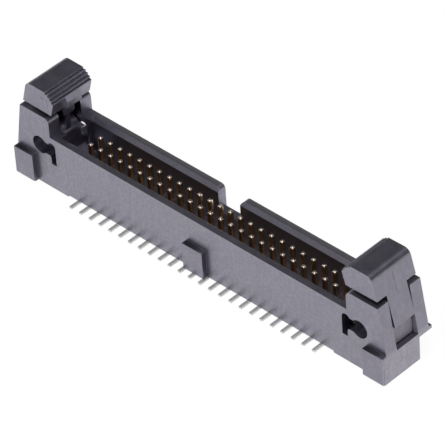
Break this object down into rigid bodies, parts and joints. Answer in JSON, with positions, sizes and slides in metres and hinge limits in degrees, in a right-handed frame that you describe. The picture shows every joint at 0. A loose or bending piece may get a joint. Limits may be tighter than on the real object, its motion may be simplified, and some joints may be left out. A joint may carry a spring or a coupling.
{
  "type": "latched pin header",
  "caption": "Shrouded surface-mount board header with rows of contacts, a polarising notch, and pivoting end latches that lock and lift out the cable socket.",
  "frame": {"origin": "centre of the contact grid on the board plane", "axes": "+X along the contact rows, +Y towards the wall with the polarising notch, +Z away from the board, the way the socket is pulled off"},
  "size_m": [0.046, 0.0078, 0.0111],
  "materials": {
    "housing": "satin black, moulded",
    "latch": "satin black, moulded",
    "contact": "gold-plated mating end, tin-plated foot"
  },
  "bodies": {
    "header": {"housing": "housing", "pin_front_01": "contact", "pin_front_02": "contact", "pin_front_03": "contact", "pin_front_04": "contact", "pin_front_05": "contact", "pin_front_06": "contact", "pin_front_07": "contact", "pin_front_08": "contact", "pin_front_09": "contact", "pin_front_10": "contact", "pin_front_11": "contact", "pin_front_12": "contact", "pin_front_13": "contact", "pin_front_14": "contact", "pin_front_15": "contact", "pin_front_16": "contact", "pin_front_17": "contact", "pin_front_18": "contact", "pin_front_19": "contact", "pin_front_20": "contact", "pin_front_21": "contact", "pin_front_22": "contact", "pin_front_23": "contact", "pin_front_24": "contact", "pin_front_25": "contact", "pin_back_01": "contact", "pin_back_02": "contact", "pin_back_03": "contact", "pin_back_04": "contact", "pin_back_05": "contact", "pin_back_06": "contact", "pin_back_07": "contact", "pin_back_08": "contact", "pin_back_09": "contact", "pin_back_10": "contact", "pin_back_11": "contact", "pin_back_12": "contact", "pin_back_13": "contact", "pin_back_14": "contact", "pin_back_15": "contact", "pin_back_16": "contact", "pin_back_17": "contact", "pin_back_18": "contact", "pin_back_19": "contact", "pin_back_20": "contact", "pin_back_21": "contact", "pin_back_22": "contact", "pin_back_23": "contact", "pin_back_24": "contact", "pin_back_25": "contact"},
    "latch_left": {"latch_left": "latch"},
    "latch_right": {"latch_right": "latch"}
  },
  "joints": [
    {"name": "latch_right_hinge", "type": "hinge", "parent": "header", "child": "latch_right", "pos_m": [0.01988, 0, 0.00455], "axis": [0, 1, 0], "range_deg": [0, 13]},
    {"name": "latch_left_hinge", "type": "hinge", "parent": "header", "child": "latch_left", "pos_m": [-0.01988, 0, 0.00455], "axis": [0, -1, 0], "range_deg": [0, 13]}
  ]
}
